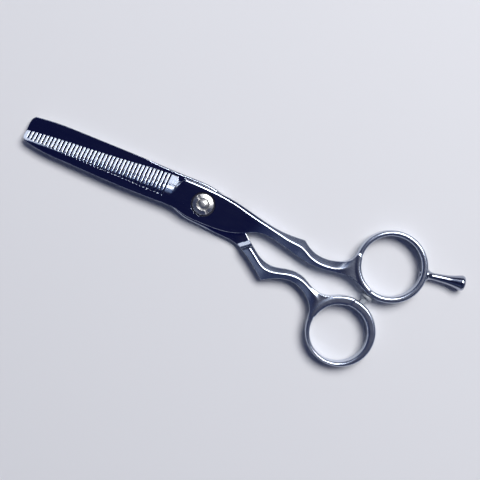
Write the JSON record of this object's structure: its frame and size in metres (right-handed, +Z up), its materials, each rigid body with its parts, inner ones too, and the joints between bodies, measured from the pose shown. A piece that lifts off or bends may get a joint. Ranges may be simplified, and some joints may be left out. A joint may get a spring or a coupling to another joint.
{
  "type": "thinning shears",
  "caption": "Hairdresser's thinning shears: a toothed blade over a plain blade, offset finger rings, screwed-in finger rest, bumper and a slotted pivot nut.",
  "frame": {"origin": "on the pivot axis, at the underside of the pivot stud's head, the level the shears lie on", "axes": "+X from the pivot to the handles along the closed blades, +Y to the finger-ring side, +Z up, from the plain half to the toothed half"},
  "size_m": [0.1677, 0.0544, 0.0062],
  "materials": {
    "blade_steel": "mirror polish",
    "handle_steel": "mirror polish",
    "fitting_steel": "turned and polished",
    "clear_bumper": "clear, soft",
    "white_nylon": "moulded",
    "bush_brass": "turned"
  },
  "bodies": {
    "finger_half": {"comb_blade": "blade_steel", "finger_handle": "handle_steel", "pivot_bush": "bush_brass", "thrust_washer": "fitting_steel"},
    "thumb_half": {"plain_blade": "blade_steel", "thumb_handle": "handle_steel", "bumper": "clear_bumper", "pivot_stud": "fitting_steel", "friction_washer": "white_nylon"},
    "nut": {"tension_nut": "fitting_steel", "nut_lock_ring": "white_nylon", "cone_spring": "fitting_steel"},
    "rest": {"finger_rest": "handle_steel"}
  },
  "joints": [
    {"name": "blades_open", "type": "hinge", "parent": "finger_half", "child": "thumb_half", "pos_m": [0, 0, 0.0029], "axis": [0, 0, -1], "range_deg": [0, 100]},
    {"name": "tension_turn", "type": "hinge", "parent": "thumb_half", "child": "nut", "pos_m": [0, 0, 0.0055], "axis": [0, 0, 1], "range_deg": [-90, 90]},
    {"name": "rest_unscrews", "type": "hinge", "parent": "finger_half", "child": "rest", "pos_m": [0.08373, 0.00944, 0.0029], "axis": [0.9826, 0.1857, 0], "range_deg": [0, 360]}
  ]
}
